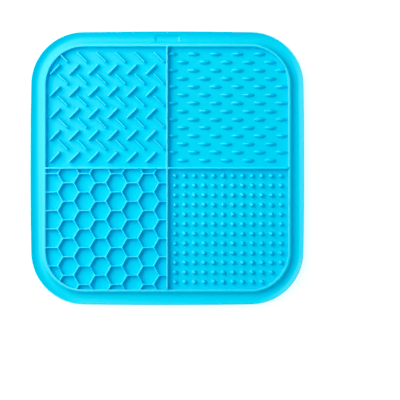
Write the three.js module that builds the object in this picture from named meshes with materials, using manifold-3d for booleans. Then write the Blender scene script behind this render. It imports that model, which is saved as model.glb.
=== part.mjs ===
// Lick mat: one flat, square moulding of soft silicone. A lip, a gutter and a bead run round a panel that
// two dividers part into four fields, each with its own raised relief to spread soft food on.
// Millimetres. +Z is up, +Y is the edge with the label recess, and the origin is the middle of the underside.
import * as THREE from 'three';
import { mergeGeometries, mergeVertices } from 'three/addons/utils/BufferGeometryUtils.js';
import Module from 'manifold-3d';

const wasm = await Module();
wasm.setup();

// Outline, seen from above
const matSide = 200;
const sideBow = 0.5; // each side stands out by this much at its middle, and the bead inside it is straight
const cornerCentre = 60.7; // the four corner arcs turn about (±this, ±this)
const cornerSegments = 9;
const sideSegments = 4;

// Heights above the flat underside
const floorHeight = 2.4;
const crownHeight = 5.9; // of the bead
const dividerHeight = 6.4;
const honeycombHeight = 5.9;
const barHeight = 5.6;
const grainHeight = 4.9;
const pegHeight = 5.3;
const rootDepth = 0.8; // raised shapes run down into the sheet by this much

// Section through the rim, from the edge of the underside up over the lip, gutter and bead to the floor
const rimSection = [
  { inset: 0.0, height: 0.0 },
  { inset: 0.0, height: 4.5 },
  { inset: 0.3, height: 4.9 },
  { inset: 0.7, height: 4.9 },
  { inset: 2.3, height: 3.83 },
  { inset: 2.9, height: 3.5 },
  { inset: 3.9, height: 3.15 },
  { inset: 5.2, height: 3.0 },
  { inset: 5.7, height: 3.0 },
  { inset: 6.9, height: 3.2 },
  { inset: 7.7, height: 3.6 },
  { inset: 8.5, height: 4.3 },
  { inset: 9.9, height: 5.75 },
  { inset: 10.25, height: crownHeight },
  { inset: 11.3, height: crownHeight },
  { inset: 11.55, height: 5.6 },
  { inset: 11.95, height: floorHeight },
];
const beadMiddle = 10.75; // inset of the middle of the bead's crown, where the relief is trimmed
const panelInset = 11.3; // inset of the crown's inner edge
const panelClearance = 2; // a raised shape whose middle comes nearer the bead than this is left out

// Dividers between the four fields
const dividerTopWidth = 1.4;
const dividerFootWidth = 2.0;
const endSlope = 1.0; // walls that reach the bead slope down to its crown over this length
const endSink = 0.2; // and end this far under it

// Upper left field: short bars in alternate rows that lean left and right
const barLength = 9.8;
const barTopWidth = 1.0;
const barFootWidth = 1.6;
const barPitchX = 14.03;
const barPitchY = 15.98;
const barColumns = 6;
const barRows = 5;
const barSets = [
  { firstX: -75.95, firstY: 80.9, lean: -Math.PI / 4 },
  { firstX: -81.9, firstY: 72.0, lean: Math.PI / 4 },
];

// Upper right field: staggered rows of grain-shaped ridges
const grainFootLength = 8.6;
const grainFootWidth = 3.2;
const grainCrestLength = 4.6;
const grainCrestWidth = 0.9;
const grainPitchX = 16.06;
const grainPitchY = 5.98;
const grainRows = 14;
const grainTopY = 83.5;
const grainRowSets = [
  { firstX: 3.2, columns: 6 },
  { firstX: 11.2, columns: 5 },
];

// Lower left field: a honeycomb whose cells have two sides along X
const cellPitch = 13.47; // from flat to flat, through the middle of the walls
const cellTopWall = 1.0;
const cellFootWall = 1.5;
const cellColumnPitch = cellPitch * Math.cos(Math.PI / 6);
const cellColumns = 8;
const cellRows = 8;
const cellFirstX = -83.7;
const cellFirstY = 2.7;
const cellStretch = 4; // cells beside the bead run on towards it by this much

// Lower right field: a square grid of round pegs
const pegFootRadius = 1.75;
const pegShoulderRadius = 1.2;
const pegShoulderDrop = 0.8; // from the tip down to the shoulder
const pegSides = 6;
const pegPitch = 7.04;
const pegCount = 12; // each way
const pegFirstX = 5.75;
const pegFirstY = -5.65;

// Label recess in the gutter, left blank
const recessLength = 18;
const recessDepth = 0.6;
const recessFrom = 2.8; // insets between which it lies
const recessTo = 8.6;

// The outline at an inset, as plan points in anticlockwise order
function outline(inset) {
  const points = [];
  const bow = sideBow * Math.max(0, 1 - inset / beadMiddle);
  const radius = matSide / 2 - cornerCentre - inset - bow;
  const corners = [[1, 1], [-1, 1], [-1, -1], [1, -1]];
  corners.forEach(([signX, signY], quarter) => {
    const centre = new THREE.Vector2(signX, signY).multiplyScalar(cornerCentre);
    for (let step = 0; step <= cornerSegments; step++) {
      const angle = (quarter + step / cornerSegments) * Math.PI / 2;
      points.push(new THREE.Vector2(Math.cos(angle), Math.sin(angle)).multiplyScalar(radius).add(centre));
    }
    // The bowed side that follows this corner
    const outward = new THREE.Vector2(0, 1).rotateAround(new THREE.Vector2(), quarter * Math.PI / 2);
    const along = outward.clone().rotateAround(new THREE.Vector2(), Math.PI / 2);
    for (let step = 1; step < sideSegments; step++) {
      const place = 2 * step / sideSegments - 1;
      const out = cornerCentre + radius + bow * (1 - place * place);
      points.push(outward.clone().multiplyScalar(out).addScaledVector(along, place * cornerCentre));
    }
  });
  return points;
}

// A closed solid through levels of plan points, each level with as many points as the others
function loft(levels) {
  const count = levels[0].plan.length;
  const positions = levels.flatMap(({ plan, height }) => plan.flatMap((point) => [point.x, point.y, height]));
  const index = [];
  for (let level = 0; level + 1 < levels.length; level++) {
    for (let i = 0; i < count; i++) {
      const here = level * count + i;
      const next = level * count + (i + 1) % count;
      index.push(here, next, next + count, here, next + count, here + count);
    }
  }
  const last = (levels.length - 1) * count;
  for (const [a, b, c] of THREE.ShapeUtils.triangulateShape(levels[0].plan, [])) index.push(a, c, b);
  for (const [a, b, c] of THREE.ShapeUtils.triangulateShape(levels.at(-1).plan, [])) {
    index.push(last + a, last + b, last + c);
  }
  const geometry = new THREE.BufferGeometry();
  geometry.setAttribute('position', new THREE.Float32BufferAttribute(positions, 3));
  geometry.setIndex(index);
  return geometry;
}

// A geometry as a solid that can be joined and cut
function solidOf(geometry) {
  const bare = geometry.clone();
  bare.deleteAttribute('normal');
  bare.deleteAttribute('uv');
  const merged = mergeVertices(bare);
  const faces = [];
  for (let i = 0; i < merged.index.count; i += 3) {
    const [a, b, c] = merged.index.array.slice(i, i + 3);
    if (a !== b && b !== c && c !== a) faces.push(a, b, c);
  }
  const vertProperties = merged.attributes.position.array;
  return new wasm.Manifold(new wasm.Mesh({ numProp: 3, vertProperties, triVerts: new Uint32Array(faces) }));
}

// Whether a raised shape in the middle of (x, y) stands clear of the bead's corner arcs
function standsInPanel(x, y) {
  const pastX = Math.max(Math.abs(x) - cornerCentre, 0);
  const pastY = Math.max(Math.abs(y) - cornerCentre, 0);
  return Math.hypot(pastX, pastY) < matSide / 2 - cornerCentre - panelInset - panelClearance;
}

// A rectangle with its corners cut off, as plan points
function barPlan(length, width) {
  const endX = length / 2;
  const cutX = endX - width / 3;
  const points = [
    [endX, -width / 4], [endX, width / 4], [cutX, width / 2], [-cutX, width / 2],
    [-endX, width / 4], [-endX, -width / 4], [-cutX, -width / 2], [cutX, -width / 2],
  ];
  return points.map(([x, y]) => new THREE.Vector2(x, y));
}

// A grain's pointed outline, as plan points
function grainPlan(length, width) {
  const endX = length / 2;
  const bellyX = length / 4;
  const points = [
    [endX, 0], [bellyX, width / 2], [-bellyX, width / 2],
    [-endX, 0], [-bellyX, -width / 2], [bellyX, -width / 2],
  ];
  return points.map(([x, y]) => new THREE.Vector2(x, y));
}

function makeBars() {
  const bar = loft([
    { plan: barPlan(barLength + barFootWidth - barTopWidth, barFootWidth), height: floorHeight - rootDepth },
    { plan: barPlan(barLength, barTopWidth), height: barHeight },
  ]);
  const bars = [];
  for (const { firstX, firstY, lean } of barSets) {
    for (let row = 0; row < barRows; row++) {
      for (let column = 0; column < barColumns; column++) {
        const x = firstX + column * barPitchX;
        const y = firstY - row * barPitchY;
        if (standsInPanel(x, y)) bars.push(bar.clone().rotateZ(lean).translate(x, y, 0));
      }
    }
  }
  return solidOf(mergeGeometries(bars));
}

function makeGrains() {
  const grain = loft([
    { plan: grainPlan(grainFootLength, grainFootWidth), height: floorHeight - rootDepth },
    { plan: grainPlan(grainFootLength, grainFootWidth), height: floorHeight },
    { plan: grainPlan(grainCrestLength, grainCrestWidth), height: grainHeight },
  ]);
  const grains = [];
  for (let row = 0; row < grainRows; row++) {
    const { firstX, columns } = grainRowSets[row % grainRowSets.length];
    for (let column = 0; column < columns; column++) {
      const x = firstX + column * grainPitchX;
      const y = grainTopY - row * grainPitchY;
      if (standsInPanel(x, y)) grains.push(grain.clone().translate(x, y, 0));
    }
  }
  return solidOf(mergeGeometries(grains));
}

function makePegs() {
  const profile = [
    new THREE.Vector2(0, floorHeight - rootDepth),
    new THREE.Vector2(pegFootRadius, floorHeight - rootDepth),
    new THREE.Vector2(pegShoulderRadius, pegHeight - pegShoulderDrop),
    new THREE.Vector2(0, pegHeight),
  ];
  const peg = new THREE.LatheGeometry(profile, pegSides).rotateX(Math.PI / 2);
  const pegs = [];
  for (let row = 0; row < pegCount; row++) {
    for (let column = 0; column < pegCount; column++) {
      const x = pegFirstX + column * pegPitch;
      const y = pegFirstY - row * pegPitch;
      if (standsInPanel(x, y)) pegs.push(peg.clone().translate(x, y, 0));
    }
  }
  return solidOf(mergeGeometries(pegs));
}

// The honeycomb is a plate over its quarter of the panel, with the cells cut through it
function makeHoneycomb() {
  const rise = honeycombHeight - floorHeight + rootDepth;
  const quarter = new THREE.BoxGeometry(matSide, matSide, rise);
  quarter.translate(-matSide / 2, -matSide / 2, honeycombHeight - rise / 2);
  const acrossCorners = 1 / Math.sqrt(3); // corner radius of a hexagon one unit from flat to flat
  const topRadius = (cellPitch - cellTopWall) * acrossCorners;
  const footRadius = (cellPitch - cellFootWall) * acrossCorners;
  const cell = new THREE.CylinderGeometry(topRadius, footRadius, rise, 6);
  cell.rotateX(Math.PI / 2).rotateZ(Math.PI / 2).translate(0, 0, honeycombHeight - rise / 2);
  const rimCell = cell.clone();
  const corners = rimCell.attributes.position;
  for (let corner = 0; corner < corners.count; corner++) {
    const x = corners.getX(corner);
    if (x < -footRadius / 4) corners.setX(corner, x - cellStretch);
  }
  const cells = [];
  for (let column = 0; column < cellColumns; column++) {
    for (let row = 0; row < cellRows; row++) {
      const x = cellFirstX + column * cellColumnPitch;
      const y = cellFirstY - (row + (column % 2) / 2) * cellPitch;
      cells.push((column === 0 ? rimCell : cell).clone().translate(x, y, 0));
    }
  }
  return solidOf(quarter).subtract(solidOf(mergeGeometries(cells)));
}

function makeDivider(angle) {
  const section = new THREE.Shape([
    new THREE.Vector2(-dividerFootWidth / 2, floorHeight - rootDepth),
    new THREE.Vector2(dividerFootWidth / 2, floorHeight - rootDepth),
    new THREE.Vector2(dividerTopWidth / 2, dividerHeight),
    new THREE.Vector2(-dividerTopWidth / 2, dividerHeight),
  ]);
  const wall = new THREE.ExtrudeGeometry(section, { depth: matSide, bevelEnabled: false });
  return solidOf(wall.translate(0, 0, -matSide / 2).rotateX(Math.PI / 2).rotateZ(angle));
}

// The recess follows the gutter's own section, one depth lower
function makeRecess() {
  const follows = rimSection.filter(({ inset }) => inset >= recessFrom && inset <= recessTo);
  const section = follows.map(({ inset, height }) => new THREE.Vector2(inset - matSide / 2, height - recessDepth));
  section.push(new THREE.Vector2(recessTo - matSide / 2, dividerHeight));
  section.push(new THREE.Vector2(recessFrom - matSide / 2, dividerHeight));
  const cutter = new THREE.ExtrudeGeometry(new THREE.Shape(section), { depth: recessLength, bevelEnabled: false });
  cutter.translate(0, 0, -recessLength / 2).rotateX(Math.PI / 2).rotateZ(-Math.PI / 2);
  return solidOf(cutter);
}

function makeMat() {
  const sheet = solidOf(loft(rimSection.map(({ inset, height }) => ({ plan: outline(inset), height }))));
  const panel = solidOf(loft([
    { plan: outline(beadMiddle), height: floorHeight - rootDepth },
    { plan: outline(beadMiddle), height: crownHeight - endSink },
    { plan: outline(beadMiddle + endSlope), height: dividerHeight },
  ]));
  const dividers = makeDivider(0).add(makeDivider(Math.PI / 2));
  const relief = makeBars().add(makeGrains()).add(makePegs()).add(makeHoneycomb()).add(dividers);
  const mat = sheet.add(relief.intersect(panel)).subtract(makeRecess()).getMesh();
  const geometry = new THREE.BufferGeometry();
  geometry.setAttribute('position', new THREE.BufferAttribute(mat.vertProperties, mat.numProp));
  geometry.setIndex(new THREE.BufferAttribute(mat.triVerts, 1));
  return geometry.toNonIndexed();
}

const silicone = new THREE.MeshStandardMaterial({ color: 0x08d2f4, roughness: 0.55, metalness: 0 });
const matGeometry = makeMat();
matGeometry.computeVertexNormals();
const mat = new THREE.Mesh(matGeometry, silicone);
mat.name = 'mat';

const lickMat = new THREE.Group();
lickMat.add(mat);

export default lickMat;
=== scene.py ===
import math

import bmesh
import bpy
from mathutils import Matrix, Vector


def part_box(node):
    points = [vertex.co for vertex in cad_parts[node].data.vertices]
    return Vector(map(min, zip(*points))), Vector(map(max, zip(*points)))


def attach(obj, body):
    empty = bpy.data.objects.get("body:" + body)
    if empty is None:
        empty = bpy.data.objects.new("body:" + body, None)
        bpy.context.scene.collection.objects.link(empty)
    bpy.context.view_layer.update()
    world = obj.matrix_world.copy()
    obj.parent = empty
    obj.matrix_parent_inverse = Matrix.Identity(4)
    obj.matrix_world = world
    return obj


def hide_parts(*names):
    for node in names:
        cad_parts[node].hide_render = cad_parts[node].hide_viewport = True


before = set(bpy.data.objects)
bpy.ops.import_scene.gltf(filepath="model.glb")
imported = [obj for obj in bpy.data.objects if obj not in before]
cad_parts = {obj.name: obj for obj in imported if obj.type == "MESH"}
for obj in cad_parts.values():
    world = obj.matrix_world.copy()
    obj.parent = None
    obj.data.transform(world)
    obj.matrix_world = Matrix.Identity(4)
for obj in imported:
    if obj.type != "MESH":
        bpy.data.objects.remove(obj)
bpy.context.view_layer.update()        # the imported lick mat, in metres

mm = 0.001
scene = bpy.context.scene
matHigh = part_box("mat")[1]
matHalf = matHigh.x      # the mat is square, with its middle at the origin
matTop = matHigh.z       # top of the dividers
floorHeight = 2.4 * mm   # floor of the four fields, above the flat underside
featureRoot = 0.6 * mm   # raised shapes reach this far down into the sheet
sameLevel = 0.01 * mm    # heights nearer than this count as one


# Small tools for modelling

def pickNothing():
    if bpy.context.object and bpy.context.object.mode != "OBJECT":
        bpy.ops.object.mode_set(mode="OBJECT")
    bpy.ops.object.select_all(action="DESELECT")


def pickObject(piece):
    pickNothing()
    piece.select_set(True)
    bpy.context.view_layer.objects.active = piece


def middleOf(part):
    if isinstance(part, bmesh.types.BMVert):
        return part.co
    if isinstance(part, bmesh.types.BMEdge):
        return (part.verts[0].co + part.verts[1].co) / 2
    return part.calc_center_median()


# Edit mode: selects the vertices, edges or faces that pass a test of their middle and of themselves
def pick(piece, kind, test):
    bpy.ops.mesh.select_mode(type=kind)
    bpy.ops.mesh.select_all(action="DESELECT")
    cage = bmesh.from_edit_mesh(piece.data)
    parts = {"VERT": cage.verts, "EDGE": cage.edges, "FACE": cage.faces}[kind]
    for part in parts:
        if test(middleOf(part), part):
            part.select_set(True)
    cage.select_flush_mode()
    bmesh.update_edit_mesh(piece.data)


def pickAllFaces():
    bpy.ops.mesh.select_mode(type="FACE")
    bpy.ops.mesh.select_all(action="SELECT")


# A flat face at its own size and place, left in edit mode with the face selected
def startPlate(name, width, depth, middle):
    pickNothing()
    bpy.ops.mesh.primitive_plane_add(size=1, location=middle)
    piece = bpy.context.active_object
    piece.name = name
    piece.scale = (width, depth, 1)
    bpy.ops.object.transform_apply(location=True, rotation=True, scale=True)
    bpy.ops.object.mode_set(mode="EDIT")
    pickAllFaces()
    return piece


# The same from a circle, turned about Z
def startDisc(name, radius, sides, height, turn=0.0):
    pickNothing()
    bpy.ops.mesh.primitive_circle_add(
        vertices=sides, radius=radius, fill_type="NGON", location=(0, 0, height), rotation=(0, 0, turn))
    piece = bpy.context.active_object
    piece.name = name
    bpy.ops.object.transform_apply(location=True, rotation=True, scale=True)
    bpy.ops.object.mode_set(mode="EDIT")
    pickAllFaces()
    return piece


def roundCorners(radius, steps):
    bpy.ops.mesh.select_mode(type="VERT")
    bpy.ops.mesh.bevel(offset=radius, segments=steps, profile=0.5, affect="VERTICES")
    pickAllFaces()


# Points of an arc in the (inset, height) plane
def arc(middle, radius, first, last, steps):
    points = []
    for step in range(steps + 1):
        turn = math.radians(first + (last - first) * step / steps)
        points.append((middle[0] + radius * math.cos(turn), middle[1] + radius * math.sin(turn)))
    return points


# From a little past a level, across it at a clear angle, and round until it stands upright
def brinkSection(level, way, past, brinkRound, steps):
    cutAngle = 70
    overrun = brinkRound * (1 / math.sin(math.radians(cutAngle)) - 1)
    section = [(0, level - way * past), (0, level - way * overrun)]
    return section + arc((0, level + way * brinkRound), brinkRound, -way * cutAngle, 0, steps)


# A wall that rises from a level, with its foot and its crown rounded
def wallSection(level, rise, past, footRound, draft, crownRound, footSteps, crownSteps):
    crownMiddle = (footRound + draft + crownRound, level + rise - crownRound)
    crown = arc(crownMiddle, crownRound, 180, 90, crownSteps)
    return brinkSection(level, 1, past, footRound, footSteps) + crown


# A hole right through, from a top to the floor, with its edge and its foot rounded
def holeSection(top, size):
    across = size["edgeRound"] + size["draft"] + size["footRound"]
    foot = brinkSection(floorHeight, 1, size["past"], size["footRound"], size["footSteps"])
    edge = brinkSection(top, -1, size["past"], size["edgeRound"], size["edgeSteps"])
    return edge + [(across - inset, height) for inset, height in reversed(foot)]


# From a flat crest to a flat bottom: a small round edge, a straight slope, then one wide hollow arc
def slopeSection(crest, bottom, slope, edgeRound, edgeSteps, hollowSteps):
    way = math.copysign(1, bottom[0] - crest[0])
    run, drop = abs(bottom[0] - crest[0]), crest[1] - bottom[1]
    rise, level = math.sin(math.radians(slope)), math.cos(math.radians(slope))
    hollow = (run * rise - drop * level) / (1 - level) - edgeRound
    edge = arc((0, -edgeRound), edgeRound, 90, 90 - slope, edgeSteps)
    wide = arc((run, hollow - drop), hollow, 270 - slope, 270, hollowSteps)
    return [(crest[0] + way * inset, crest[1] + height) for inset, height in edge + wide]


# Carries the selected face along a section of (inset, height) points, up from a face that looks up
# or down from one that looks down
def followSection(section, facing=1):
    for (inset, height), (nextInset, nextHeight) in zip(section, section[1:]):
        rise = nextHeight - height
        if nextInset == inset:
            bpy.ops.mesh.extrude_region_move(TRANSFORM_OT_translate={"value": (0, 0, rise)})
        else:
            bpy.ops.mesh.inset(thickness=nextInset - inset, depth=rise * facing, use_even_offset=True)


def closeUp():
    bpy.ops.mesh.select_all(action="SELECT")
    bpy.ops.mesh.normals_make_consistent(inside=False)
    bpy.ops.object.mode_set(mode="OBJECT")


# Edit mode: scores the faces that pass a test along X and Y, so that none of them gets many holes
def score(piece, test, placesX, placesY):
    for x in placesX:
        pick(piece, "FACE", test)
        bpy.ops.mesh.bisect(plane_co=(x, 0, 0), plane_no=(1, 0, 0))
    for y in placesY:
        pick(piece, "FACE", test)
        bpy.ops.mesh.bisect(plane_co=(0, y, 0), plane_no=(0, 1, 0))


def spaced(first, pitch, count):
    return [first + pitch * step for step in range(count)]


# One copy of a modelled shape at each place, all joined, and the shape itself put away
def spread(pattern, places):
    copies = []
    for x, y in places:
        pickObject(pattern)
        bpy.ops.object.duplicate(linked=False)
        copy = bpy.context.active_object
        copy.location = (x, y, 0)
        copies.append(copy)
    joined = joinPieces(copies)
    bpy.data.objects.remove(pattern)
    return joined


def joinPieces(pieces):
    pickNothing()
    for piece in pieces:
        piece.select_set(True)
    bpy.context.view_layer.objects.active = pieces[0]
    bpy.ops.object.join()
    bpy.ops.object.transform_apply(location=True, rotation=True, scale=True)
    return bpy.context.active_object


def carve(piece, operation, tool):
    pickObject(piece)
    cut = piece.modifiers.new("cut", "BOOLEAN")
    cut.operation = operation
    cut.solver = "MANIFOLD"
    cut.object = tool
    bpy.ops.object.modifier_apply(modifier=cut.name)
    bpy.data.objects.remove(tool)


def faceCount(piece):
    piece.data.calc_loop_triangles()
    return len(piece.data.loop_triangles)


# Sheet with its rim: a lip, a gutter, a bead, and the bead's inner wall down to the floor of the fields

rim = {
    "cornerCentre": 60.7 * mm,   # the corner arcs turn about (±this, ±this)
    "cornerSteps": 22,
    "sideCuts": 11,
    "bow": 0.5 * mm,             # a side stands out by this much at its middle, and the bead is straight
    "underRound": 0.3 * mm,
    "underSteps": 3,
    "lipHeight": 4.9 * mm,
    "lipRound": 0.5 * mm,        # outer edge of the lip
    "lipSteps": 4,
    "lipFlat": 0.1 * mm,
    "lipInner": 0.25 * mm,       # inner edge of the lip
    "lipInnerSteps": 3,
    "lipSlope": 34,              # degrees, down to the gutter
    "lipHollowSteps": 5,
    "gutterFrom": 5.0 * mm,      # insets between which the gutter is level
    "gutterTo": 5.4 * mm,
    "gutterHeight": 3.0 * mm,
    "crownInset": 9.75 * mm,     # the bead's flat crown starts here
    "crownWidth": 1.0 * mm,
    "crownHeight": 5.9 * mm,
    "crownRound": 0.35 * mm,
    "crownSteps": 4,
    "crownSlope": 50,            # degrees, down to the gutter
    "crownHollowSteps": 10,
    "draft": 0.1 * mm,           # lean of the bead's inner wall
    "footRound": 0.3 * mm,
    "footSteps": 5,
}


def rimSection():
    lip, lipRound = rim["lipHeight"], rim["lipRound"]
    crown, crownRound = rim["crownHeight"], rim["crownRound"]
    gutter, footRound = rim["gutterHeight"], rim["footRound"]
    section = [(0, 0), (0, lip - lipRound)]
    section += arc((lipRound, lip - lipRound), lipRound, 180, 90, rim["lipSteps"])[1:]
    section += slopeSection((lipRound + rim["lipFlat"], lip), (rim["gutterFrom"], gutter), rim["lipSlope"],
                            rim["lipInner"], rim["lipInnerSteps"], rim["lipHollowSteps"])
    up = slopeSection((rim["crownInset"], crown), (rim["gutterTo"], gutter), rim["crownSlope"],
                      crownRound, rim["crownSteps"], rim["crownHollowSteps"])
    section += up[::-1]
    inner = rim["crownInset"] + rim["crownWidth"]
    foot = inner + crownRound + rim["draft"] + footRound
    section += arc((inner, crown - crownRound), crownRound, 90, 0, rim["crownSteps"])
    section += arc((foot, floorHeight + footRound), footRound, 180, 270, rim["footSteps"])
    return section


# How far the middle of the bead's crown, or its inner edge, lies from the middle of the mat
def beadMiddle():
    return matHalf - rim["bow"] - rim["crownInset"] - rim["crownWidth"] / 2


def beadInner():
    return beadMiddle() - rim["crownWidth"] / 2


def bowSides(piece):
    cage = bmesh.from_edit_mesh(piece.data)
    edge = matHalf - rim["bow"]
    for vertex in cage.verts:
        for axis, other in ((0, 1), (1, 0)):
            place = vertex.co[other] / rim["cornerCentre"]
            inset = edge - abs(vertex.co[axis])
            if abs(place) < 1 and inset < rim["crownInset"]:
                out = rim["bow"] * (1 - place * place) * (1 - inset / rim["crownInset"])
                vertex.co[axis] += math.copysign(out, vertex.co[axis])
    bmesh.update_edit_mesh(piece.data)


def makeSheet():
    side = 2 * (matHalf - rim["bow"])
    sheet = startPlate("lickMat", side, side, (0, 0, 0))
    roundCorners(side / 2 - rim["cornerCentre"], rim["cornerSteps"])
    straight = rim["cornerCentre"]
    pick(sheet, "EDGE", lambda middle, edge: edge.calc_length() > straight)
    bpy.ops.mesh.subdivide(number_cuts=rim["sideCuts"])
    pickAllFaces()
    followSection(rimSection())
    pick(sheet, "EDGE", lambda middle, edge: all(end.co.z < sameLevel for end in edge.verts))
    bpy.ops.mesh.bevel(offset=rim["underRound"], segments=rim["underSteps"], affect="EDGES")
    bowSides(sheet)
    scoreFloor(sheet)
    closeUp()
    return sheet


# The floor is scored between the raised shapes of each field
def scoreFloor(sheet):
    def isFloor(middle, face):
        return abs(middle.z - floorHeight) < sameLevel and abs(face.normal.z) > 0.99

    score(sheet, isFloor, (0,), (0,))
    leanRight, leanLeft = bar["sets"]
    rowGap = leanRight["firstY"] - leanLeft["firstY"]
    barRows = spaced(leanRight["firstY"] - rowGap / 2, -bar["pitchY"], bar["rows"])
    barRows += spaced(leanLeft["firstY"] - (bar["pitchY"] - rowGap) / 2, -bar["pitchY"], bar["rows"] - 1)
    score(sheet, lambda middle, face: isFloor(middle, face) and middle.x < 0 < middle.y,
          spaced(leanRight["firstX"] + bar["pitchX"] / 2, bar["pitchX"], bar["columns"] - 1), barRows)
    fullRow = grain["rowSets"][0]
    score(sheet, lambda middle, face: isFloor(middle, face) and middle.x > 0 < middle.y,
          spaced(fullRow["firstX"] + grain["pitchX"] / 2, grain["pitchX"], fullRow["columns"] - 1),
          spaced(grain["topY"] - grain["pitchY"] / 2, -grain["pitchY"], grain["rows"] - 1))
    score(sheet, lambda middle, face: isFloor(middle, face) and middle.x > 0 > middle.y,
          spaced(peg["firstX"] + peg["pitch"] / 2, peg["pitch"], peg["count"] - 1),
          spaced(peg["firstY"] - peg["pitch"] / 2, -peg["pitch"], peg["count"] - 1))


# Blank label recess in the gutter, at the +Y side

recess = {
    "length": 18 * mm,
    "depth": 0.6 * mm,
    "endSlope": 0.9 * mm,
    "from": 2.8 * mm,    # insets between which it lies
    "to": 8.3 * mm,
}


def sinkRecess(sheet):
    pickObject(sheet)
    bpy.ops.object.mode_set(mode="EDIT")
    half = recess["length"] / 2
    near, far = matHalf - recess["from"], matHalf - recess["to"]

    def liesWithin(reach, middle, face):
        return abs(middle.x) < reach and far < middle.y < near and face.normal.z > 0.1

    for end in (-half, half):
        pick(sheet, "FACE", lambda middle, face: liesWithin(3 * half, middle, face))
        bpy.ops.mesh.bisect(plane_co=(end, 0, 0), plane_no=(1, 0, 0))
    pick(sheet, "FACE", lambda middle, face: liesWithin(half, middle, face))
    bpy.ops.mesh.extrude_region_move(TRANSFORM_OT_translate={"value": (0, 0, -recess["depth"])})
    bpy.ops.transform.resize(value=(1 - recess["endSlope"] / half, 1, 1), center_override=(0, 0, 0))
    closeUp()


# Walls: two dividers and a honeycomb, each left standing where a block over the panel is cut through

wallEnd = {
    "slope": 1.0 * mm,           # walls slope down to the bead over this length
    "sink": 0.15 * mm,           # and end this far under its crown
}

divider = {
    "flat": 0.64 * mm,           # flat top of a divider, inside its rounded edges
    "innerCorner": 0.85 * mm,    # more than the rounded edge, draft and rounded foot together
    "cornerSteps": 3,
    "edgeRound": 0.4 * mm,
    "draft": 0.08 * mm,
    "footRound": 0.25 * mm,
    "edgeSteps": 4,
    "footSteps": 4,
    "past": 1.0 * mm,            # what is cut away reaches this far past the top and the floor
}

honeycomb = {
    "top": 5.9 * mm,
    "pitch": 13.47 * mm,         # from flat to flat, through the middle of the walls
    "wallFlat": 0.34 * mm,       # flat top of a wall, inside its rounded edges
    "cornerRound": 0.9 * mm,
    "cornerSteps": 3,
    "edgeRound": 0.3 * mm,
    "draft": 0.08 * mm,
    "footRound": 0.3 * mm,
    "edgeSteps": 3,
    "footSteps": 3,
    "past": 0.8 * mm,            # as on the dividers
    "columns": 8,
    "rows": 8,
    "firstX": -83.7 * mm,
    "firstY": 2.7 * mm,
    "stretch": 4.0 * mm,         # cells beside the bead run on towards it by this much
}


# A plate in the shape of the panel, as far as the middle of the bead
def startPanel(name, height):
    half = beadMiddle()
    panel = startPlate(name, 2 * half, 2 * half, (0, 0, height))
    roundCorners(half - rim["cornerCentre"], rim["cornerSteps"])
    return panel


def startWalls(name, top):
    low = floorHeight - featureRoot
    walls = startPanel(name, low)
    followSection([(0, low), (0, rim["crownHeight"] - wallEnd["sink"]), (wallEnd["slope"], top)])
    return walls


# What is cut away from the quarter with these signs: it reaches past the panel, but not under a divider
def makeOpening(signX, signY):
    start, end = divider["flat"] / 2, matHalf
    middle = (start + end) / 2
    place = (signX * middle, signY * middle, matTop + divider["past"])
    opening = startPlate("opening", end - start, end - start, place)
    roundCorners(divider["innerCorner"], divider["cornerSteps"])
    bpy.ops.mesh.flip_normals()
    followSection(holeSection(matTop, divider), facing=-1)
    closeUp()
    return opening


def makeDividers():
    walls = startWalls("dividers", matTop)
    closeUp()
    openings = [makeOpening(signX, signY) for signX in (-1, 1) for signY in (-1, 1)]
    carve(walls, "DIFFERENCE", joinPieces(openings))
    return walls


def cellColumnPitch():
    return honeycomb["pitch"] * math.cos(math.pi / 6)


# The cells of some columns, with their -X side moved out
def makeCells(columns, stretch):
    radius = (honeycomb["pitch"] - honeycomb["wallFlat"]) / math.sqrt(3)
    cell = startDisc("cell", radius, 6, honeycomb["top"] + honeycomb["past"], math.pi / 6)
    pick(cell, "VERT", lambda middle, part: middle.x < 0)
    bpy.ops.transform.translate(value=(-stretch, 0, 0))
    pickAllFaces()
    roundCorners(honeycomb["cornerRound"], honeycomb["cornerSteps"])
    bpy.ops.mesh.flip_normals()
    followSection(holeSection(honeycomb["top"], honeycomb), facing=-1)
    closeUp()
    places = []
    for column in columns:
        for row in range(honeycomb["rows"]):
            x = honeycomb["firstX"] + column * cellColumnPitch()
            y = honeycomb["firstY"] - (row + column % 2 / 2) * honeycomb["pitch"]
            places.append((x, y))
    return spread(cell, places)


# The honeycomb fills the -X -Y quarter, as far as the middle of the dividers
def makeHoneycomb():
    walls = startWalls("honeycomb", honeycomb["top"])
    for axis in ((1, 0, 0), (0, 1, 0)):
        bpy.ops.mesh.select_all(action="SELECT")
        bpy.ops.mesh.bisect(plane_co=(0, 0, 0), plane_no=axis, use_fill=True, clear_outer=True)
    halfRow = honeycomb["pitch"] / 2
    score(walls, lambda middle, face: True,
          spaced(honeycomb["firstX"], cellColumnPitch(), honeycomb["columns"]),
          spaced(honeycomb["firstY"] - 3 * halfRow / 2, -halfRow, 2 * honeycomb["rows"] - 3))
    closeUp()
    rimCells = makeCells([0], honeycomb["stretch"])
    cells = makeCells(range(1, honeycomb["columns"]), 0)
    carve(walls, "DIFFERENCE", joinPieces([cells, rimCells]))
    return walls


# Raised shapes whose middle comes nearer the bead's corner arcs than this are left out
panelClearance = 2 * mm


def standsInPanel(x, y):
    pastX = max(abs(x) - rim["cornerCentre"], 0)
    pastY = max(abs(y) - rim["cornerCentre"], 0)
    return math.hypot(pastX, pastY) < beadInner() - rim["cornerCentre"] - panelClearance


# Bars: thin walls in alternate rows that lean left and right, in the -X +Y quarter

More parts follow.
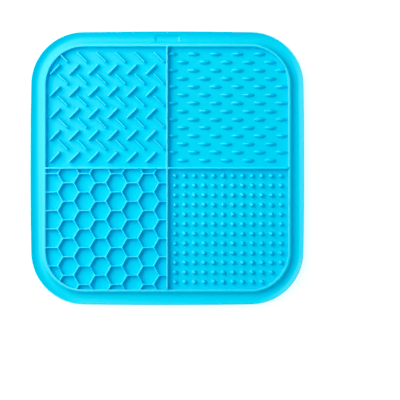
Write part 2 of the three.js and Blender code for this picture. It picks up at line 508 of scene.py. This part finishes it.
bar = {
    "length": 9.9 * mm,
    "topWidth": 1.0 * mm,
    "height": 3.2 * mm,
    "draft": 0.3 * mm,
    "footRound": 0.4 * mm,
    "topRound": 0.3 * mm,
    "sides": 12,
    "footSteps": 2,
    "topSteps": 3,
    "pitchX": 14.03 * mm,
    "pitchY": 15.98 * mm,
    "columns": 6,
    "rows": 5,
    "sets": (
        {"firstX": -75.95 * mm, "firstY": 80.9 * mm, "lean": -45},
        {"firstX": -81.9 * mm, "firstY": 72.0 * mm, "lean": 45},
    ),
}


def makeBars():
    low = floorHeight - featureRoot
    halfWidth = bar["topWidth"] / 2 + bar["draft"] + bar["footRound"]
    halfStep = math.pi / bar["sides"]
    reach = bar["length"] / 2 - bar["topWidth"] / 2
    sets = []
    for barSet in bar["sets"]:
        # a disc pulled apart along X, with no corner on its short axis
        piece = startDisc("bar", halfWidth / math.cos(halfStep), bar["sides"], low, halfStep)
        for way in (-1, 1):
            pick(piece, "VERT", lambda middle, part: middle.x * way > 0)
            bpy.ops.transform.translate(value=(way * reach, 0, 0))
        pickAllFaces()
        section = wallSection(floorHeight, bar["height"], featureRoot, bar["footRound"], bar["draft"],
                              bar["topRound"], bar["footSteps"], bar["topSteps"])
        followSection(section)
        closeUp()
        piece.rotation_euler.z = math.radians(barSet["lean"])
        pickObject(piece)
        bpy.ops.object.transform_apply(location=True, rotation=True, scale=True)
        places = []
        for row in range(bar["rows"]):
            for column in range(bar["columns"]):
                x = barSet["firstX"] + column * bar["pitchX"]
                y = barSet["firstY"] - row * bar["pitchY"]
                if standsInPanel(x, y):
                    places.append((x, y))
        sets.append(spread(piece, places))
    return joinPieces(sets)


# Grains: long low domes in staggered rows, in the +X +Y quarter

grain = {
    "length": 8.6 * mm,
    "width": 3.2 * mm,
    "height": 2.5 * mm,
    "lengthTaper": 0.55,     # powers that draw it in towards its crest
    "widthTaper": 0.5,
    "flare": 0.25 * mm,      # the foot spreads by this much
    "flareSink": 0.03 * mm,  # and starts this far under the floor
    "waist": 0.075 * mm,     # what is left of the flare at the height below
    "waistHeight": 0.12 * mm,
    "footHeight": 0.35 * mm, # the dome starts here
    "sides": 16,
    "rings": 5,
    "pitchX": 16.06 * mm,
    "pitchY": 5.98 * mm,
    "rows": 14,
    "topY": 83.5 * mm,
    "rowSets": (
        {"firstX": 3.2 * mm, "columns": 6},
        {"firstX": 11.2 * mm, "columns": 5},
    ),
}


def makeGrains():
    halfLength, halfWidth = grain["length"] / 2, grain["width"] / 2
    flare, waist, foot = grain["flare"], grain["waist"], grain["footHeight"]
    low = floorHeight - featureRoot
    piece = startDisc("grain", 1, grain["sides"], low)
    # plan half sizes and heights of the rings: a flared foot, then drawn in to the crest
    rings = [
        (halfLength + flare, halfWidth + flare, low),
        (halfLength + flare, halfWidth + flare, floorHeight - grain["flareSink"]),
        (halfLength + waist, halfWidth + waist, floorHeight + grain["waistHeight"]),
    ]
    for ring in range(grain["rings"]):
        share = math.sin(math.pi / 2 * ring / grain["rings"])
        rise = foot + (grain["height"] - foot) * share
        length = halfLength * (1 - share) ** grain["lengthTaper"]
        width = halfWidth * (1 - share) ** grain["widthTaper"]
        rings.append((length, width, floorHeight + rise))
    x, y, z = rings[0]
    bpy.ops.transform.resize(value=(x, y, 1), center_override=(0, 0, z))
    for (x, y, z), (nextX, nextY, nextZ) in zip(rings, rings[1:]):
        bpy.ops.mesh.extrude_region_move(TRANSFORM_OT_translate={"value": (0, 0, nextZ - z)})
        bpy.ops.transform.resize(value=(nextX / x, nextY / y, 1), center_override=(0, 0, nextZ))
    bpy.ops.mesh.poke(offset=(grain["height"] - foot) * (1 - share))
    closeUp()
    places = []
    for row in range(grain["rows"]):
        rowSet = grain["rowSets"][row % len(grain["rowSets"])]
        for column in range(rowSet["columns"]):
            x = rowSet["firstX"] + column * grain["pitchX"]
            y = grain["topY"] - row * grain["pitchY"]
            if standsInPanel(x, y):
                places.append((x, y))
    return spread(piece, places)


# Pegs: a square grid of round-tipped pegs, in the +X -Y quarter

peg = {
    "footRadius": 1.75 * mm,
    "height": 2.9 * mm,
    "footRound": 0.4 * mm,
    "draft": 0.4 * mm,
    "tipRound": 1.0 * mm,
    "sides": 12,
    "footSteps": 2,
    "tipSteps": 4,
    "pitch": 7.04 * mm,
    "count": 12,             # each way
    "firstX": 5.75 * mm,
    "firstY": -5.65 * mm,
}


def makePegs():
    piece = startDisc("peg", peg["footRadius"] + peg["footRound"], peg["sides"], floorHeight - featureRoot)
    section = wallSection(floorHeight, peg["height"], featureRoot, peg["footRound"], peg["draft"],
                          peg["tipRound"], peg["footSteps"], peg["tipSteps"])
    followSection(section)
    closeUp()
    places = []
    for row in range(peg["count"]):
        for column in range(peg["count"]):
            x = peg["firstX"] + column * peg["pitch"]
            y = peg["firstY"] - row * peg["pitch"]
            if standsInPanel(x, y):
                places.append((x, y))
    return spread(piece, places)


# A block over the panel that trims the raised shapes
def makePanelBlock():
    block = startPanel("panelBlock", floorHeight - 2 * featureRoot)
    bpy.ops.mesh.extrude_region_move(TRANSFORM_OT_translate={"value": (0, 0, matTop)})
    closeUp()
    return block


finish = {
    "mergeWithin": 0.004 * mm,
    "dissolveUnder": 0.002 * mm,
    "smoothBelow": 32,           # degrees between faces
    "faceWeight": 100,           # large flat faces keep their shading flat
}


def makeMat():
    mat = makeSheet()
    print("sheet and rim:", faceCount(mat), "triangles")
    sinkRecess(mat)
    print("label recess:", faceCount(mat), "triangles")
    dividers, walls = makeDividers(), makeHoneycomb()
    print("dividers, honeycomb:", faceCount(dividers), faceCount(walls), "triangles")
    bars, grains, pegs = makeBars(), makeGrains(), makePegs()
    print("bars, grains, pegs:", faceCount(bars), faceCount(grains), faceCount(pegs), "triangles")
    relief = joinPieces([bars, grains, pegs])
    carve(relief, "INTERSECT", makePanelBlock())
    carve(mat, "UNION", dividers)
    carve(mat, "UNION", walls)
    carve(mat, "UNION", relief)
    print("all joined:", faceCount(mat), "triangles")
    pickObject(mat)
    bpy.ops.object.mode_set(mode="EDIT")
    bpy.ops.mesh.select_all(action="SELECT")
    bpy.ops.mesh.remove_doubles(threshold=finish["mergeWithin"])
    bpy.ops.mesh.dissolve_degenerate(threshold=finish["dissolveUnder"])
    bpy.ops.object.mode_set(mode="OBJECT")
    bpy.ops.object.shade_smooth_by_angle(angle=math.radians(finish["smoothBelow"]))
    weigh = mat.modifiers.new("weigh", "WEIGHTED_NORMAL")
    weigh.keep_sharp = True
    weigh.weight = finish["faceWeight"]
    bpy.ops.object.modifier_apply(modifier=weigh.name)
    return mat


# Silicone

class Wire:
    # a shader socket that can stand in Python sums
    def __init__(self, tree, socket=None):
        self.tree = tree
        self.socket = socket

    # any node: its type, its settings, then the values or links of its sockets
    def node(self, kind, settings, inputs, output=0):
        made = self.tree.nodes.new(kind)
        for name, value in settings.items():
            setattr(made, name, value)
        for name, value in inputs.items():
            if isinstance(value, Wire):
                self.tree.links.new(value.socket, made.inputs[name])
            else:
                made.inputs[name].default_value = value
        return Wire(self.tree, made.outputs[output] if made.outputs else None)

    def sum(self, operation, first, second):
        return self.node("ShaderNodeMath", {"operation": operation}, {0: first, 1: second})

    def __radd__(self, other):
        return self.sum("ADD", other, self)

    def __sub__(self, other):
        return self.sum("SUBTRACT", self, other)

    def __rmul__(self, other):
        return self.sum("MULTIPLY", other, self)


silicone = {
    "floorColour": (0.045, 0.64, 0.92, 1),
    # painted highlight: a lighter, paler colour for the crests, standing in for the light they catch
    "crestHighlightColour": (0.063, 0.70, 0.95, 1),
    "cloudColour": (0.044, 0.62, 0.91, 1),
    "highlightFrom": 4.4 * mm,        # painted highlight: crests are painted lighter and paler between these heights, standing in for the light they catch
    "highlightTo": 5.6 * mm,
    "cloudScale": 22,
    "cloudDetail": 3,
    "roughness": 0.34,
    "roughSwing": 0.08,          # the clouds change it by this much
    "specular": 0.05,
    "ior": 1.41,
    "grainScale": 2600,          # fine grain of the mould
    "grainDetail": 2,
    "grainDepth": 0.02 * mm,
    "grainStrength": 0.25,
}


def siliconeMaterial():
    material = bpy.data.materials.new("silicone")
    material.use_nodes = True
    tree = material.node_tree
    tree.nodes.clear()
    start = Wire(tree)
    place = start.node("ShaderNodeTexCoord", {}, {}, "Object")
    height = start.node("ShaderNodeSeparateXYZ", {}, {0: place}, "Z")
    # painted highlight: how much of the lighter crest colour is mixed in, rising with height
    raised = start.node("ShaderNodeMapRange", {"clamp": True}, {
        "Value": height, "From Min": silicone["highlightFrom"], "From Max": silicone["highlightTo"]})
    cloud = start.node("ShaderNodeTexNoise", {}, {
        "Vector": place, "Scale": silicone["cloudScale"], "Detail": silicone["cloudDetail"]})
    fine = start.node("ShaderNodeTexNoise", {}, {
        "Vector": place, "Scale": silicone["grainScale"], "Detail": silicone["grainDetail"]})
    cloudy = start.node("ShaderNodeMix", {"data_type": "RGBA"}, {
        0: cloud, 6: silicone["floorColour"], 7: silicone["cloudColour"]}, 2)
    colour = start.node("ShaderNodeMix", {"data_type": "RGBA"}, {
        0: raised, 6: cloudy, 7: silicone["crestHighlightColour"]}, 2)
    roughness = silicone["roughness"] + silicone["roughSwing"] * (cloud - 0.5)
    bump = start.node("ShaderNodeBump", {}, {
        "Strength": silicone["grainStrength"], "Distance": silicone["grainDepth"], "Height": fine})
    shader = start.node("ShaderNodeBsdfPrincipled", {}, {
        "Base Color": colour, "Roughness": roughness, "Normal": bump, "IOR": silicone["ior"],
        "Specular IOR Level": silicone["specular"]})
    start.node("ShaderNodeOutputMaterial", {}, {"Surface": shader})
    return material


# Stage: floor, wall, lights and camera

stage = {
    "floorLevel": -0.05 * mm,
    "floorSide": 6.0,
    "floorColour": (0.9, 0.9, 0.9, 1),
    "floorGlow": 0.8,
    "wallRadius": 2.9,
    "wallSides": 96,
    "wallHeight": 4.0,
    "wallColour": (0, 0, 0, 1),
    "wallGlow": 1.3,
    "paperRoughness": 0.9,
    "keyFrom": (-0.70, 0.38, 0.70),
    "keyDistance": 0.75,
    "keySize": 0.8,
    "keyPower": 7.5,
    "sky": (0.35, 0.88, 1.0, 1),
    "zenith": 0.54,          # strength of the sky overhead and at the horizon
    "horizon": 0.36,
}


def paperMaterial(name, colour, glow):
    material = bpy.data.materials.new(name)
    material.use_nodes = True
    shader = material.node_tree.nodes["Principled BSDF"]
    shader.inputs["Base Color"].default_value = colour
    shader.inputs["Roughness"].default_value = stage["paperRoughness"]
    shader.inputs["Specular IOR Level"].default_value = 0
    shader.inputs["Emission Color"].default_value = (1, 1, 1, 1)
    shader.inputs["Emission Strength"].default_value = glow
    return material


def makeFloor():
    floor = startPlate("floor", stage["floorSide"], stage["floorSide"], (0, 0, stage["floorLevel"]))
    pickNothing()
    floor.data.materials.append(paperMaterial("floor", stage["floorColour"], stage["floorGlow"]))


# A round wall behind the floor, for low views: it is only looked at, and neither lights nor shades the mat
def makeWall():
    wall = startDisc("wall", stage["wallRadius"], stage["wallSides"], stage["floorLevel"])
    bpy.ops.mesh.extrude_region_move(TRANSFORM_OT_translate={"value": (0, 0, stage["wallHeight"])})
    pick(wall, "FACE", lambda middle, face: abs(face.normal.z) > 0.5)
    bpy.ops.mesh.delete(type="FACE")
    pickNothing()
    wall.visible_diffuse = False
    wall.visible_glossy = False
    wall.visible_shadow = False
    wall.data.materials.append(paperMaterial("wall", stage["wallColour"], stage["wallGlow"]))


def makeLights():
    away = Vector(stage["keyFrom"]).normalized()
    pickNothing()
    bpy.ops.object.light_add(type="AREA", location=away * stage["keyDistance"])
    key = bpy.context.active_object
    key.name = "key"
    key.rotation_mode = "QUATERNION"
    key.rotation_quaternion = away.to_track_quat("Z", "Y")
    key.data.shape = "DISK"
    key.data.size = stage["keySize"]
    key.data.energy = stage["keyPower"]
    world = bpy.data.worlds.new("studio")
    world.use_nodes = True
    world.node_tree.nodes.clear()
    start = Wire(world.node_tree)
    direction = start.node("ShaderNodeTexCoord", {}, {}, "Generated")
    rise = start.node("ShaderNodeSeparateXYZ", {}, {0: direction}, "Z")
    strength = start.node("ShaderNodeMapRange", {"clamp": True}, {
        "Value": rise, "To Min": stage["horizon"], "To Max": stage["zenith"]})
    sky = start.node("ShaderNodeBackground", {}, {"Color": stage["sky"], "Strength": strength})
    start.node("ShaderNodeOutputWorld", {}, {"Surface": sky})
    scene.world = world


picture = {
    "shoulder": ((0.0, 0.0), (0.6, 0.6), (0.9, 0.84), (1.3, 1.0)),   # light in, light shown
    "white": 1.3,
    "redToe": ((0.0, 0.0), (0.04, 0.0), (0.062, 0.08), (1.0, 1.0)),   # red shows only in bright light
}


# Bright parts are eased towards white, as a camera does
def setPicture():
    settings = scene.view_settings
    settings.view_transform = "Standard"
    settings.use_curve_mapping = True
    mapping = settings.curve_mapping
    mapping.clip_max_x = picture["white"]
    red, combined = mapping.curves[0], mapping.curves[3]
    for curve, places in ((combined, picture["shoulder"]), (red, picture["redToe"])):
        first, *middle, last = places
        curve.points[0].location = first
        curve.points[1].location = last
        for place in middle:
            curve.points.new(*place).handle_type = "VECTOR"
    mapping.update()


view = {
    "imageSide": 400,                   # pixels
    "matMiddle": (167.15, 168.15),      # where the middle of the mat stands in the image, in pixels
    "scale": 0.7297 * mm,               # size of a pixel at the height below
    "scaleHeight": 4.5 * mm,
    "distance": 0.75,
    "sensor": 36,
}


def makeCamera():
    half = view["imageSide"] / 2
    right = (half - view["matMiddle"][0]) * view["scale"]
    down = (half - view["matMiddle"][1]) * view["scale"]
    pickNothing()
    height = view["scaleHeight"] + view["distance"]
    bpy.ops.object.camera_add(location=(right, -down, height), rotation=(0, 0, 0))
    camera = bpy.context.active_object
    camera.name = "camera"
    camera.data.sensor_width = view["sensor"]
    camera.data.lens = view["sensor"] * view["distance"] / (view["imageSide"] * view["scale"])
    scene.camera = camera


setPicture()
makeCamera()
makeFloor()
makeWall()
makeLights()
print("stage set")

lickMat = makeMat()
lickMat.data.materials.clear()
lickMat.data.materials.append(siliconeMaterial())
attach(lickMat, "root")
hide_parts("mat")
print("mat dressed:", faceCount(lickMat), "triangles")
